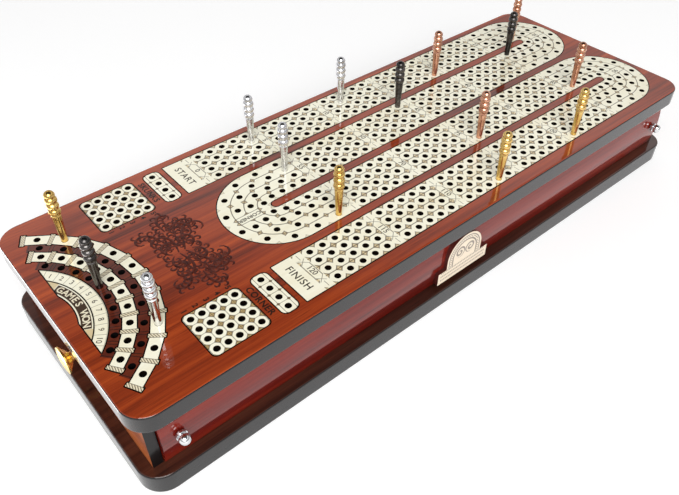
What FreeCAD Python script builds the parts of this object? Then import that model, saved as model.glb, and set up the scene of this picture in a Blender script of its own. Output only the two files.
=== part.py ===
import FreeCAD, Part
import Sketcher
import math
import os

Vector = FreeCAD.Vector
Rotation = FreeCAD.Rotation

# A cribbage board in the form of a flat box: a base board, two end walls and a rear rail carry a
# thick top board with inlaid scoring tracks. A card drawer slides out of the front and a small
# peg drawer out of the left end. Origin: the middle of the base board's underside. +X runs along
# the board away from the games-won fan, -Y is the card drawer side, +Z is up. Millimetres.

SIZES = [
    ("board_length", 362.0), ("board_width", 130.0), ("board_thickness", 9.8),
    ("board_corner", 11.0), ("edge_round", 1.0),
    ("base_thickness", 11.4), ("base_overhang", 1.3), ("body_height", 28.6),
    # walls and rails between the base board and the top board
    ("wall_thickness", 4.5), ("wall_setback", 4.2), ("wall_edge_setback", 5.6),
    ("rail_thickness", 8.0), ("rail_setback", 4.8), ("rail_bulge", 1.9),
    ("front_clearance", 0.4), ("slide_clearance", 0.5), ("guide_thickness", 4.5),
    # card drawer
    ("drawer_side", 4.0), ("drawer_bottom", 2.6), ("drawer_divider", 3.0),
    ("divider_drop", 4.0), ("drawer_back_gap", 1.5), ("side_drop", 3.0),
    # peg drawer, in its bay at the left end
    ("peg_bay_length", 54.8), ("peg_drawer_width", 55.0), ("peg_drawer_lintel", 5.2),
    ("peg_drawer_side", 3.0), ("peg_drawer_bottom", 2.4), ("peg_drawer_front", 4.5),
    ("peg_side_drop", 1.5),
    # scoring tracks; places along the board are measured from its left end
    ("pattern_centre", 1.5), ("tracks_start", 96.8), ("group_pitch", 41.6), ("hole_pitch", 7.25),
    ("row_pitch", 6.35), ("lane_margin", 3.075), ("lane_gap", 5.3), ("start_plate", 12.6),
    ("bend_leg_right", 25.3), ("bend_leg_left", 26.7), ("label_half", 2.5),
    ("inlay_depth", 2.0), ("inlay_gap", 0.55), ("hole_diameter", 3.1), ("hole_floor", 1.8),
    # skunk and corner counters
    ("block_start", 39.4), ("block_margin", 2.85), ("block_corner", 2.0), ("block_pitch", 5.3),
    ("strip_start", 72.6), ("strip_width", 8.2), ("strip_corner", 2.6),
    # games-won fan; its centre lies outside the board's left end
    ("fan_outside", 18.5), ("fan_inner", 27.7), ("fan_band", 5.53), ("fan_edge", 7.5),
    ("fan_knuckle", 0.75), ("fan_knuckle_half", 0.95), ("fan_step_one", 12.27),
    ("fan_step_two", 11.75), ("fan_step_three", 11.2), ("fan_step_four", 10.15),
    # pegs
    ("peg_stand", 28.0), ("peg_seat_gap", 0.5), ("peg_clearance", 0.1), ("peg_taper", 0.2),
    ("peg_shoulder", 15.4), ("peg_shoulder_radius", 2.1), ("peg_waist_radius", 1.9),
    ("peg_ring_radius", 2.0),
    # knobs, nameplate and screws
    ("knob_inset", 17.0), ("knob_rise", 1.4), ("knob_ball", 2.5), ("knob_neck", 1.2),
    ("knob_foot", 1.8), ("knob_lift", 0.3), ("knob_collar", 2.5), ("collar_lift", 0.9),
    ("collar_height", 0.9), ("knob_reach", 6.2), ("brass_disc", 6.5), ("brass_neck", 2.2),
    ("brass_reach", 7.4), ("crown_flat", 0.4), ("stud_length", 5.0), ("stud_radius", 1.0),
    ("stud_clearance", 0.05),
    ("plate_centre", -4.8), ("plate_width", 35.0), ("plate_bar", 7.4), ("plate_arch", 12.0),
    ("plate_raise", 2.8), ("plate_top_gap", 1.5), ("plate_proud", 2.0),
    ("screw_radius", 1.5), ("screw_head_radius", 3.0), ("screw_length", 20.0),
    ("screw_inset", 20.0), ("screw_sink", 0.4),
]


class Dim:
    """A length that knows its value and the spreadsheet expression it came from."""

    def __init__(self, text, value):
        self.text = text
        self.value = value

    def _join(self, sign, other, value):
        right = other.text if isinstance(other, Dim) else repr(float(other))
        return Dim("(" + self.text + " " + sign + " " + right + ")", value)

    def __add__(self, other):
        return self._join("+", other, self.value + number(other))

    def __sub__(self, other):
        return self._join("-", other, self.value - number(other))

    def __mul__(self, other):
        return self._join("*", other, self.value * number(other))

    def __truediv__(self, other):
        return self._join("/", other, self.value / number(other))

    def __neg__(self):
        return Dim("(-1 * " + self.text + ")", -self.value)


def number(item):
    """The plain value of a Dim or of a number."""
    return item.value if isinstance(item, Dim) else float(item)


def dim(item):
    """A Dim for a Dim or a number."""
    return item if isinstance(item, Dim) else Dim(repr(float(item)), float(item))


doc = FreeCAD.newDocument("CribbageBoard")
sheet = doc.addObject("Spreadsheet::Sheet", "sizes")
for row, (alias, value) in enumerate(SIZES, start=1):
    sheet.set("A" + str(row), alias)
    sheet.set("B" + str(row), str(value))
    sheet.setAlias("B" + str(row), alias)
doc.recompute()
D = {alias: Dim("sizes." + alias, float(getattr(sheet, alias))) for alias, value in SIZES}
V = {alias: D[alias].value for alias in D}
LAST_LABEL = 5
nodes = {}

# levels and faces that several pieces share
left_end = -D["board_length"] / 2
body_floor = D["base_thickness"]
body_middle = body_floor + D["body_height"] / 2
body_roof = body_floor + D["body_height"]
top_face = body_roof + D["board_thickness"]
wall_outer = D["board_length"] / 2 - D["wall_setback"]
wall_inner = wall_outer - D["wall_thickness"]
wall_edge = D["board_width"] / 2 - D["wall_edge_setback"]
rail_edge = D["board_width"] / 2 - D["rail_setback"]
rail_back = rail_edge - D["rail_thickness"]
guide_left = -wall_inner + D["peg_bay_length"]
guide_right = guide_left + D["guide_thickness"]
peg_drawer_height = D["body_height"] - D["peg_drawer_lintel"]
opening_half = D["peg_drawer_width"] / 2 + D["slide_clearance"]
opening_top = peg_drawer_height + D["slide_clearance"]

# the card drawer's faces
front_height = D["body_height"] - D["front_clearance"] * 2
drawer_floor = body_floor + D["front_clearance"]
drawer_right = wall_inner - D["slide_clearance"]
drawer_left = guide_right + D["slide_clearance"]
drawer_back = rail_back - D["drawer_back_gap"]
side_height = front_height - D["side_drop"]
knob_height = body_middle + D["knob_rise"]

# the lanes, the counters and the fan
lane_width = D["row_pitch"] * 3 + D["lane_margin"] * 2
lane_pitch = lane_width + D["lane_gap"]
hole_depth = D["board_thickness"] - D["hole_floor"]
block_left = left_end + D["block_start"]
block_length = D["block_pitch"] * 4 + D["block_margin"] * 2
strip_left = left_end + D["strip_start"]
fan_centre = left_end - D["fan_outside"]


# ---- helpers -------------------------------------------------------------------------------

def place(item, x=0.0, y=0.0, z=0.0, turn=None):
    """Sets a piece's position from sheet expressions, with an optional fixed turn."""
    spot = [dim(x), dim(y), dim(z)]
    item.Placement = FreeCAD.Placement(Vector(*[s.value for s in spot]), turn or Rotation())
    for axis, s in zip("xyz", spot):
        item.setExpression("Placement.Base." + axis, s.text)


def keep(name, item):
    """Labels a finished piece and files it as a node."""
    item.Label = name
    nodes[name] = item
    return item


def box(name, length, width, height, x, y, z):
    """A plain board with its low corner at x, y, z."""
    board = doc.addObject("Part::Box", name)
    for prop, size in (("Length", length), ("Width", width), ("Height", height)):
        board.setExpression(prop, dim(size).text)
    place(board, x, y, z)
    return board


def cylinder(name, radius, height, x, y, z, turn=None):
    """A round bar standing on x, y, z."""
    bar = doc.addObject("Part::Cylinder", name)
    bar.setExpression("Radius", dim(radius).text)
    bar.setExpression("Height", dim(height).text)
    place(bar, x, y, z, turn)
    return bar


def cut(name, base, tool):
    """base with tool taken away."""
    result = doc.addObject("Part::Cut", name)
    result.Base = base
    result.Tool = tool
    return result


def new_body(name):
    return doc.addObject("PartDesign::Body", name)


def arc_between(start, end, radius):
    """The minor arc from start to end that bulges to the right of the way it runs."""
    chord = end - start
    middle = (start + end) / 2
    outward = Vector(chord.y, -chord.x, 0).normalize()
    centre = middle - outward * math.sqrt(max(radius ** 2 - (chord.Length / 2) ** 2, 0.0))
    angles = [math.atan2(p.y - centre.y, p.x - centre.x) for p in (start, end)]
    if angles[1] < angles[0]:
        angles[1] += 2 * math.pi
    circle = Part.Circle(centre, Vector(0, 0, 1), radius)
    return Part.ArcOfCircle(circle, angles[0], angles[1])


def sketch_outline(body, name, role, outline):
    """A closed sketch through the outline's points, run anticlockwise. A third entry in a point
    is the radius of the arc that arrives there."""
    sketch = body.newObject("Sketcher::SketchObject", name)
    plane = [item for item in body.Origin.OriginFeatures if item.Role == role][0]
    sketch.AttachmentSupport = (plane, [""])
    sketch.MapMode = "FlatFace"
    spots = [Vector(number(p[0]), number(p[1]), 0) for p in outline]
    count = len(outline)
    for i in range(count):
        start, end = spots[i - 1], spots[i]
        if len(outline[i]) > 2:
            sketch.addGeometry(arc_between(start, end, number(outline[i][2])), False)
        else:
            sketch.addGeometry(Part.LineSegment(start, end), False)
    for i in range(count):
        sketch.addConstraint(Sketcher.Constraint("Coincident", i, 2, (i + 1) % count, 1))
        for axis, size in (("X", dim(outline[i][0])), ("Y", dim(outline[i][1]))):
            rule = Sketcher.Constraint("Distance" + axis, -1, 1, i, 2, size.value)
            index = sketch.addConstraint(rule)
            sketch.setExpression("Constraints[" + str(index) + "]", size.text)
        if len(outline[i]) > 2:
            radius = dim(outline[i][2])
            index = sketch.addConstraint(Sketcher.Constraint("Radius", i, radius.value))
            sketch.setExpression("Constraints[" + str(index) + "]", radius.text)
    return sketch


def pad(body, name, role, outline, length):
    """A sketched outline drawn out along its plane's normal."""
    feature = body.newObject("PartDesign::Pad", name)
    feature.Profile = sketch_outline(body, name + "_sketch", role, outline)
    feature.setExpression("Length", dim(length).text)
    body.Tip = feature
    return feature


def pocket(body, name, role, outline, length, backward):
    """A sketched outline cut away from the solid."""
    feature = body.newObject("PartDesign::Pocket", name)
    feature.Profile = sketch_outline(body, name + "_sketch", role, outline)
    feature.setExpression("Length", dim(length).text)
    feature.Reversed = backward
    body.Tip = feature
    doc.recompute()
    if feature.Shape.Volume > feature.BaseFeature.Shape.Volume - 1.0:
        raise RuntimeError(name + " cut nothing")
    return feature


def fillet(body, name, radius, wanted):
    """Rounds the edges of the last feature that wanted() picks."""
    doc.recompute()
    last = body.Tip
    edges = ["Edge" + str(i) for i, edge in enumerate(last.Shape.Edges, start=1) if wanted(edge)]
    feature = body.newObject("PartDesign::Fillet", name)
    feature.Base = (last, edges)
    feature.setExpression("Radius", dim(radius).text)
    body.Tip = feature
    doc.recompute()
    return feature


def revolve(name, outline):
    """A turned piece: the outline spun about the local Z axis."""
    body = new_body(name)
    sketch = sketch_outline(body, name + "_sketch", "XZ_Plane", outline)
    feature = body.newObject("PartDesign::Revolution", name + "_turned")
    feature.Profile = sketch
    feature.ReferenceAxis = (sketch, ["V_Axis"])
    feature.Angle = 360.0
    body.Tip = feature
    return body


def rectangle(x0, x1, y0, y1):
    """The four corners of a rectangle, anticlockwise."""
    return [(x1, y0), (x1, y1), (x0, y1), (x0, y0)]


def upright(edge):
    """True for an edge parallel to Z."""
    a, b = edge.Vertexes[0].Point, edge.Vertexes[-1].Point
    return abs(a.x - b.x) < 1e-6 and abs(a.y - b.y) < 1e-6


def level(edge):
    """True for an edge that lies in a plane of constant Z."""
    return edge.BoundBox.ZLength < 1e-6


# ---- the boards and walls that are fixed together ----------------------------------------------

def make_slab(name, length, width, thickness):
    """A board with rounded corners and softly rounded faces' edges."""
    body = new_body(name)
    half_x, half_y = dim(length) / 2, dim(width) / 2
    pad(body, name + "_blank", "XY_Plane", rectangle(-half_x, half_x, -half_y, half_y), thickness)
    fillet(body, name + "_corners", D["board_corner"], upright)
    fillet(body, name + "_edges", D["edge_round"], level)
    return body


def screw_spots():
    """Screw positions under the end walls, two to a wall."""
    reach = wall_outer.value - V["wall_thickness"] / 2
    spread = V["board_width"] / 2 - V["screw_inset"]
    return [(side * reach, row * spread) for side in (-1, 1) for row in (-1, 1)]


def screw_shape(x, y, grow):
    """A countersunk screw driven up from the base board's underside."""
    head = V["screw_head_radius"] + grow
    shank = V["screw_radius"] + grow
    cone_height = V["screw_head_radius"] - V["screw_radius"]
    sink = V["screw_sink"]
    solid = Part.makeCone(head, shank, cone_height, Vector(x, y, sink))
    length = V["screw_length"] + grow
    solid = solid.fuse(Part.makeCylinder(shank, length, Vector(x, y, sink)))
    if grow > 0:
        solid = solid.fuse(Part.makeCylinder(head, sink + 1, Vector(x, y, -1)))
    return solid.removeSplitter()


def make_screw_holes():
    """The countersunk holes, cut alike in the base board and the end walls."""
    holes = doc.addObject("Part::Feature", "screw_holes")
    clearance = V["stud_clearance"]
    holes.Shape = Part.makeCompound([screw_shape(x, y, clearance) for x, y in screw_spots()])
    return holes


def make_base(screw_holes):
    base = make_slab("base_slab", D["board_length"] + D["base_overhang"] * 2,
                     D["board_width"] + D["base_overhang"] * 2, D["base_thickness"])
    keep("base_board", cut("base_board", base, screw_holes))


def make_screws():
    """The screws that hold the base board to the end walls."""
    screws = doc.addObject("Part::Feature", "base_screws")
    screws.Shape = Part.makeCompound([screw_shape(x, y, 0.0) for x, y in screw_spots()])
    keep("base_screws", screws)


def make_left_wall(screw_holes):
    """The left end wall, with the peg drawer's opening down to the base board."""
    body = new_body("left_wall")
    outline = rectangle(-wall_edge, wall_edge, 0, D["body_height"])
    pad(body, "left_wall_blank", "YZ_Plane", outline, D["wall_thickness"])
    opening = rectangle(-opening_half, opening_half, -1, opening_top)
    pocket(body, "peg_drawer_opening", "YZ_Plane", opening, D["wall_thickness"] + 1, True)
    place(body, -wall_outer, 0, body_floor)
    keep("left_end_wall", cut("left_end_wall", body, screw_holes))


def make_right_wall(screw_holes):
    body = new_body("right_wall")
    outline = rectangle(-wall_edge, wall_edge, 0, D["body_height"])
    pad(body, "right_wall_blank", "YZ_Plane", outline, D["wall_thickness"])
    place(body, wall_inner, 0, body_floor)
    keep("right_end_wall", cut("right_end_wall", body, screw_holes))


def rail_outline(side, height):
    """The section of a long rail in Y and Z: flat behind, gently bulging outside."""
    bulge = D["rail_bulge"]
    radius = (height * height / 4 + bulge * bulge) / (bulge * 2)
    edge, back = rail_edge * side, rail_back * side
    if side > 0:
        return [(edge, 0), (edge, height, radius), (back, height), (back, 0)]
    return [(edge, height), (edge, 0, radius), (back, 0), (back, height)]


def make_rear_rail():
    """The fixed rail along the back, the same section as the card drawer's front."""
    body = new_body("rear_rail_body")
    pad(body, "rear_rail_bar", "YZ_Plane", rail_outline(1, D["body_height"]), wall_inner * 2)
    place(body, -wall_inner, 0, body_floor)
    keep("rear_rail", body)


def make_guides():
    """The partition between the two drawer bays and the rails beside the peg drawer."""
    bay_front = -rail_back + D["slide_clearance"]
    partition = box("bay_partition", D["guide_thickness"], rail_back - bay_front, D["body_height"],
                    guide_left, bay_front, body_floor)
    keep("bay_partition", partition)
    for name, y in (("peg_bay_rail_front", -opening_half - D["guide_thickness"]),
                    ("peg_bay_rail_back", opening_half)):
        keep(name, box(name, D["peg_bay_length"], D["guide_thickness"], D["body_height"],
                       -wall_inner, y, body_floor))


# ---- where the holes are -----------------------------------------------------------------------

def label_line(k):
    """X of the k-th label strip, from 0 at the left; the strips part groups of five holes."""
    return left_end.value + V["tracks_start"] + k * V["group_pitch"]


def lane_centre(lane):
    """Y of a lane's middle; lane 1 is at the back and lane 4 at the front."""
    return V["pattern_centre"] + (2.5 - lane) * lane_pitch.value


def lane_first_label(lane):
    """The label strip at the left end of a lane's groups."""
    return 0 if lane in (1, 4) else 1


def row_offsets():
    return [(row - 1.5) * V["row_pitch"] for row in range(4)]


def lane_holes(lane):
    """Groups of five by four holes along a straight lane."""
    spots = []
    for k in range(lane_first_label(lane), LAST_LABEL):
        centre = label_line(k) + V["group_pitch"] / 2
        for column in range(5):
            x = centre + (column - 2) * V["hole_pitch"]
            spots += [(x, lane_centre(lane) + offset) for offset in row_offsets()]
    return spots


def bend_frame(bend):
    """Centre, leg length and direction (+1 to the right) of a bend."""
    if bend == "left":
        centre = label_line(1) - V["bend_leg_left"]
        return centre, V["pattern_centre"], V["bend_leg_left"], -1
    y = V["pattern_centre"] + (lane_pitch.value if bend == "back" else -lane_pitch.value)
    return label_line(LAST_LABEL) + V["bend_leg_right"], y, V["bend_leg_right"], 1


def bend_holes(bend):
    """Ten holes to a track round a bend, five on each side of its middle line."""
    cx, cy, leg, way = bend_frame(bend)
    spots = []
    middle_gaps = (1.0, 2.3, 2.3, 0.3)
    for offset, gap in zip(row_offsets(), middle_gaps):
        radius = lane_pitch.value / 2 + offset
        pitch = (leg + radius * math.pi / 2 - V["label_half"] - gap) / 5
        for i in range(5):
            s = V["label_half"] + pitch * (i + 0.5)
            angle = max(s - leg, 0.0) / radius
            x = cx + way * (min(s, leg) - leg + radius * math.sin(angle))
            y = radius * math.cos(angle)
            spots += [(x, cy + y), (x, cy - y)]
    return spots


def block_holes(lane):
    """Five by four holes of a skunks or corner counter."""
    first = block_left.value + V["block_margin"]
    return [(first + i * V["block_pitch"], lane_centre(lane) + offset)
            for i in range(5) for offset in row_offsets()]


def strip_holes(lane):
    x = strip_left.value + V["strip_width"] / 2
    return [(x, lane_centre(lane) + offset) for offset in row_offsets()]


def fan_ring(ring):
    """Middle radius and angular step of a fan's ring of holes; ring 0 is the outermost."""
    radius = V["fan_inner"] + (5.5 - ring) * V["fan_band"]
    return radius, V["fan_step_" + ("one", "two", "three", "four")[ring]]


def fan_point(radius, degrees):
    angle = math.radians(degrees)
    return (fan_centre.value + radius * math.cos(angle),
            V["pattern_centre"] + radius * math.sin(angle))


def fan_holes(ring):
    """Ten holes to a ring, counted from the back."""
    radius, step = fan_ring(ring)
    return [fan_point(radius, (4.5 - i) * step) for i in range(10)]


# ---- outlines of the inlays --------------------------------------------------------------------

def spot(x, y):
    return Vector(x, y, 0)


def polygon(points):
    """A flat face through points in the XY plane."""
    loop = [spot(*p) for p in points]
    return Part.Face(Part.makePolygon(loop + [loop[0]]))


def rounded_rectangle(x0, x1, y0, y1, radius):
    blank = polygon([(x0, y0), (x1, y0), (x1, y1), (x0, y1)])
    shrunk = blank.makeOffset2D(-radius)
    return shrunk.makeOffset2D(radius)


def lane_face(lane):
    """A straight inlay; the two outer lanes also carry the start or finish plate."""
    plate = V["start_plate"] if lane in (1, 4) else 0.0
    x0 = label_line(lane_first_label(lane)) - plate
    x1 = label_line(LAST_LABEL)
    y, half = lane_centre(lane), lane_width.value / 2
    return polygon([(x0, y - half), (x1, y - half), (x1, y + half), (x0, y + half)])


def bend_face(bend):
    """A hairpin inlay: two legs joined by half a ring."""
    cx, cy, leg, way = bend_frame(bend)
    outer = (lane_pitch.value + lane_width.value) / 2
    inner = (lane_pitch.value - lane_width.value) / 2
    end = cx - way * leg

    def half_turn(radius):
        return Part.Arc(spot(cx, cy + radius), spot(cx + way * radius, cy),
                        spot(cx, cy - radius)).toShape()

    def line(x0, y0, x1, y1):
        return Part.LineSegment(spot(x0, y0), spot(x1, y1)).toShape()

    edges = [half_turn(outer), half_turn(inner)]
    for side in (-1, 1):
        edges.append(line(cx, cy + side * outer, end, cy + side * outer))
        edges.append(line(end, cy + side * outer, end, cy + side * inner))
        edges.append(line(end, cy + side * inner, cx, cy + side * inner))
    return Part.Face(Part.Wire(Part.__sortEdges__(edges)))


def block_face(lane):
    half = lane_width.value / 2
    x0 = block_left.value
    return rounded_rectangle(x0, x0 + block_length.value, lane_centre(lane) - half,
                             lane_centre(lane) + half, V["block_corner"])


def strip_face(lane):
    half = lane_width.value / 2
    x0 = strip_left.value
    return rounded_rectangle(x0, x0 + V["strip_width"], lane_centre(lane) - half,
                             lane_centre(lane) + half, V["strip_corner"])


def arc_face(ring):
    """A maple arc: ten straight cells, parted by raised-edged bands."""
    radius, step = fan_ring(ring)
    half = V["fan_band"] / 2
    band = math.degrees(V["fan_knuckle_half"] / radius)

    def edge(r, grow):
        points = []
        for i in range(11):
            middle = (5 - i) * step
            for turn, out in ((band, 0), (band, 1), (-band, 1), (-band, 0)):
                points.append(fan_point(r + out * grow, middle + turn))
        return points

    outside = edge(radius + half, V["fan_knuckle"])
    inside = edge(radius - half, -V["fan_knuckle"])
    return polygon(outside + inside[::-1])


def ring_face(inner, outer):
    """Part of a ring round the fan's centre, cut off square at the fan's edge."""
    centre = spot(fan_centre.value, V["pattern_centre"])
    disc = Part.Face(Part.Wire(Part.makeCircle(outer, centre)))
    hollow = Part.Face(Part.Wire(Part.makeCircle(inner, centre)))
    edge, side = left_end.value + V["fan_edge"], V["board_width"]
    window = polygon([(edge, -side), (0, -side), (0, side), (edge, side)])
    return disc.cut(hollow).common(window).Faces[0]


def inlays():
    """Every inlay: name, outline and holes."""
    found = []
    for lane, name in ((1, "track_lane_start"), (2, "track_lane_second"),
                       (3, "track_lane_third"), (4, "track_lane_finish")):
        found.append((name, lane_face(lane), lane_holes(lane)))
    for bend in ("back", "left", "front"):
        found.append(("track_bend_" + bend, bend_face(bend), bend_holes(bend)))
    for lane, name in ((1, "skunks"), (4, "corner")):
        found.append((name + "_counter", block_face(lane), block_holes(lane)))
        found.append((name + "_strip", strip_face(lane), strip_holes(lane)))
    for ring, name in ((0, "games_arc_outer"), (2, "games_arc_inner")):
        found.append((name, arc_face(ring), fan_holes(ring)))
    inner, band, part = V["fan_inner"], V["fan_band"], V["inlay_gap"] / 2
    found.append(("games_number_ring", ring_face(inner + band + part, inner + 2 * band), []))
    found.append(("games_title_plate", ring_face(inner, inner + band - part), []))
    return found


def make_inlays(found):
    """The maple pieces, flush with the top board's face and drilled right through."""
    for name, face, holes in found:
        inlay = doc.addObject("Part::Feature", name)
        rings = [Part.Wire(Part.makeCircle(V["hole_diameter"] / 2, spot(x, y))) for x, y in holes]
        drilled = Part.makeFace([face.OuterWire] + rings, "Part::FaceMakerBullseye")
        inlay.Shape = drilled.extrude(Vector(0, 0, V["inlay_depth"]))
        place(inlay, 0, 0, top_face - D["inlay_depth"])
        keep(name, inlay)


def make_top_board(found):
    """The top board, with a pocket under each inlay and a blind hole for each peg position."""
    slab = make_slab("top_slab", D["board_length"], D["board_width"], D["board_thickness"])
    place(slab, 0, 0, body_roof)
    recess = None
    spots = fan_holes(1) + fan_holes(3)
    for name, face, holes in found:
        grown = face.makeOffset2D(V["inlay_gap"])
        solid = grown.extrude(Vector(0, 0, V["inlay_depth"] + 1))
        recess = solid if recess is None else recess.fuse(solid)
        spots += holes
    pockets = doc.addObject("Part::Feature", "inlay_pockets")
    pockets.Shape = recess
    place(pockets, 0, 0, top_face - D["inlay_depth"])
    depth = hole_depth.value
    bits = [Part.makeCylinder(V["hole_diameter"] / 2, depth + 1, spot(x, y)) for x, y in spots]
    bores = doc.addObject("Part::Feature", "peg_bores")
    bores.Shape = Part.makeCompound(bits)
    place(bores, 0, 0, top_face - hole_depth)
    pocketed = cut("pocketed_board", slab, pockets)
    keep("top_board", cut("top_board", pocketed, bores))


# ---- card drawer -------------------------------------------------------------------------------

def make_card_drawer():
    """The box behind the card drawer's front: wells for two decks and two for small things."""
    depth = drawer_back + rail_back
    side, bottom = D["drawer_side"], D["drawer_bottom"]
    inner_length = drawer_right - drawer_left - side * 2
    for name, x in (("card_drawer_left_side", drawer_left),
                    ("card_drawer_right_side", drawer_right - side)):
        keep(name, box(name, side, depth, side_height, x, -rail_back, drawer_floor))
    keep("card_drawer_back", box("card_drawer_back", inner_length, side, side_height,
                                 drawer_left + side, drawer_back - side, drawer_floor))
    keep("card_drawer_bottom", box("card_drawer_bottom", inner_length, depth - side, bottom,
                                   drawer_left + side, -rail_back, drawer_floor))
    well = (inner_length - D["drawer_divider"] * 3) / 4
    walls = []
    for i in (1, 2, 3):
        x = drawer_left + side + well * i + D["drawer_divider"] * (i - 1)
        walls.append(box("divider_" + str(i), D["drawer_divider"], depth - side,
                         side_height - bottom - D["divider_drop"], x, -rail_back, drawer_floor + bottom))
    dividers = doc.addObject("Part::Compound", "card_drawer_dividers")
    dividers.Links = walls
    keep("card_drawer_dividers", dividers)


def bulge_at(height):
    """Y of the drawer front's outer face at a height, as a plain number."""
    half = front_height.value / 2
    bulge = V["rail_bulge"]
    radius = (half ** 2 + bulge ** 2) / (2 * bulge)
    rise = height - drawer_floor.value - half
    return -(rail_edge.value + bulge - radius + math.sqrt(radius ** 2 - rise ** 2))


def stud_bore(name, x, y, z, turn):
    """A cylinder that leaves a running fit round a knob's stud."""
    radius = D["stud_radius"] + D["stud_clearance"]
    return cylinder(name, radius, D["stud_length"] + 3.0, x, y, z, turn)


def make_steel_knobs():
    """Two small turned knobs: a stud, a flared foot, a neck, a collar and a ball."""
    neck, foot, collar = D["knob_neck"], D["knob_foot"], D["knob_collar"]
    ball_height = D["knob_reach"] - D["knob_ball"]
    turn = Rotation(Vector(1, 0, 0), 90)
    for name, side in (("drawer_knob_left", -1), ("drawer_knob_right", 1)):
        stud = cylinder(name + "_stud", D["stud_radius"], D["stud_length"] + D["knob_lift"],
                        0, 0, -D["stud_length"])
        flare = doc.addObject("Part::Cone", name + "_foot")
        for prop, size in (("Radius1", foot), ("Radius2", neck), ("Height", foot - neck)):
            flare.setExpression(prop, size.text)
        place(flare, 0, 0, D["knob_lift"])
        stem = cylinder(name + "_neck", neck, ball_height - D["knob_lift"], 0, 0, D["knob_lift"])
        rim = cylinder(name + "_collar", collar, D["collar_height"], 0, 0, D["collar_lift"])
        ball = doc.addObject("Part::Sphere", name + "_ball")
        ball.setExpression("Radius", D["knob_ball"].text)
        place(ball, 0, 0, ball_height)
        knob = doc.addObject("Part::MultiFuse", name)
        knob.Shapes = [stud, flare, stem, rim, ball]
        x = (D["board_length"] / 2 - D["knob_inset"]) * side
        place(knob, x, bulge_at(knob_height.value), knob_height, turn)
        keep(name, knob)


def make_nameplate(front):
    """The maple plate on the drawer's front: a bar with an arch on it, fitted to the bulge."""
    half, bar, arch = D["plate_width"] / 2, D["plate_bar"], D["plate_arch"]
    height = D["body_height"] - D["plate_raise"] - D["plate_top_gap"]
    outline = [(half, 0), (half, bar), (arch, bar), (arch, height - arch), (0, height, arch),
               (-arch, height - arch, arch), (-arch, bar), (-half, bar), (-half, 0)]
    plate = new_body("plate_body")
    pad(plate, "plate_blank", "XZ_Plane", outline, D["rail_bulge"] + D["plate_proud"])
    place(plate, D["plate_centre"], -rail_edge, body_floor + D["plate_raise"])
    keep("nameplate", cut("nameplate", plate, front))


def make_card_front():
    """The card drawer's bulging full-length front, bored for the studs of its knobs."""
    body = new_body("card_front")
    length = wall_inner * 2 - D["front_clearance"] * 2
    pad(body, "card_front_bar", "YZ_Plane", rail_outline(-1, front_height), length)
    place(body, -wall_inner + D["front_clearance"], 0, drawer_floor)
    turn = Rotation(Vector(1, 0, 0), -90)
    y = bulge_at(knob_height.value) - 3.0
    reach = D["board_length"] / 2 - D["knob_inset"]
    bores = [stud_bore("front_bore_" + name, reach * side, y, knob_height, turn)
             for name, side in (("left", -1), ("right", 1))]
    bored = cut("card_front_bored_once", body, bores[0])
    keep("card_drawer_front", cut("card_drawer_front", bored, bores[1]))
    return body


# ---- peg drawer --------------------------------------------------------------------------------

def make_peg_drawer():
    """The peg drawer: a plain box whose front lies flush in the left end wall."""
    half, side, bottom = D["peg_drawer_width"] / 2, D["peg_drawer_side"], D["peg_drawer_bottom"]
    height = peg_drawer_height - D["front_clearance"]
    face, panel = -wall_outer, D["peg_drawer_front"]
    end = guide_left - D["slide_clearance"] * 2
    length = end - face - panel
    front = box("peg_front_blank", panel, half * 2, height, face, -half, drawer_floor)
    turn = Rotation(Vector(0, 1, 0), 90)
    bore = stud_bore("peg_front_bore", face - 3.0, 0, body_middle, turn)
    keep("peg_drawer_front", cut("peg_drawer_front", front, bore))
    wall_height = height - D["peg_side_drop"]
    for name, y in (("peg_drawer_side_front", -half), ("peg_drawer_side_back", half - side)):
        keep(name, box(name, length, side, wall_height, face + panel, y, drawer_floor))
    inner = half * 2 - side * 2
    keep("peg_drawer_end", box("peg_drawer_end", side, inner, wall_height,
                               end - side, -half + side, drawer_floor))
    keep("peg_drawer_bottom", box("peg_drawer_bottom", length - side, inner, bottom,
                                  face + panel, -half + side, drawer_floor))


def make_brass_knob():
    """The peg drawer's turned knob: a stud, a flared neck and a thin domed disc."""
    disc, neck, reach = D["brass_disc"], D["brass_neck"], D["brass_reach"]
    stud = D["peg_drawer_front"] - 0.5
    radius = D["stud_radius"]
    outline = [(0, -stud), (radius, -stud), (radius, 0.05), (neck + 1.2, 0.05), (neck + 1.2, 0.9),
               (neck, 1.6), (neck, 3.0), (disc, reach - 1.6), (disc, reach - 0.9),
               (D["crown_flat"], reach, disc * 4), (0, reach)]
    knob = revolve("brass_knob_body", outline)
    place(knob, -wall_outer, 0, body_middle, Rotation(Vector(0, 1, 0), -90))
    keep("peg_drawer_knob", knob)


# ---- pegs --------------------------------------------------------------------------------------

def lane_spot(lane, group, column, row):
    """A straight lane's hole; groups and columns count to the right, rows from the back. The
    groups are numbered along the whole board, so the two shorter lanes start at group 2."""
    x = label_line(group - 1) + V["group_pitch"] / 2 + (column - 3) * V["hole_pitch"]
    return x, lane_centre(lane) + row_offsets()[4 - row]


def bend_spot(bend, track, step, side):
    """A bend's hole; tracks count outwards from 0, steps along from the label strip."""
    return bend_holes(bend)[track * 10 + step * 2 + (0 if side == "back" else 1)]


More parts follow.
